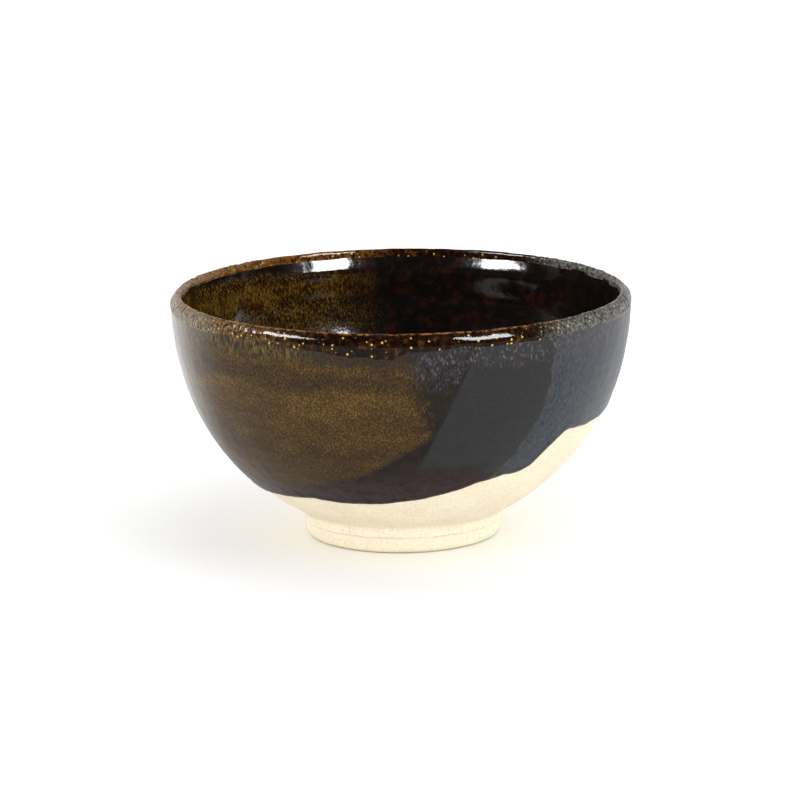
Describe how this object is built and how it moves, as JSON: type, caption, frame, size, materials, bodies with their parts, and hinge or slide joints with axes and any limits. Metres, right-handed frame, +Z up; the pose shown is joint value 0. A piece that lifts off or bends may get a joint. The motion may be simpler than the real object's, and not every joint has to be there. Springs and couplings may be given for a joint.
{
  "type": "matcha bowl",
  "caption": "Hemispherical stoneware tea bowl on a low turned foot, dip-glazed olive, black and slate inside and out, with raw clay below the dip lines.",
  "frame": {"origin": "centre of the face that the foot stands on", "axes": "+Z up along the bowl's axis; -Y is the side where the olive and black glazes meet, with the olive glaze towards -X and the slate glaze towards +X"},
  "size_m": [0.12, 0.12, 0.0645],
  "materials": {
    "raw_clay": "dry unglazed stoneware with fine grog",
    "foot_clay": "dry unglazed stoneware with fine grog",
    "rim_glaze": "thick glossy iron glaze with amber specks",
    "inner_olive": "glossy mottled olive glaze",
    "inner_black": "glossy black iron glaze",
    "outer_olive": "satin mottled olive glaze with fine streaks",
    "outer_black": "satin black glaze",
    "outer_slate": "satin slate blue-grey glaze, finely mottled"
  },
  "bodies": {
    "root": {"thrown_body": "raw_clay", "foot_ring": "foot_clay", "rim_glaze": "rim_glaze", "inner_olive_glaze": "inner_olive", "inner_black_glaze": "inner_black", "outer_olive_glaze": "outer_olive", "outer_black_glaze": "outer_black", "outer_slate_glaze": "outer_slate"}
  },
  "joints": []
}
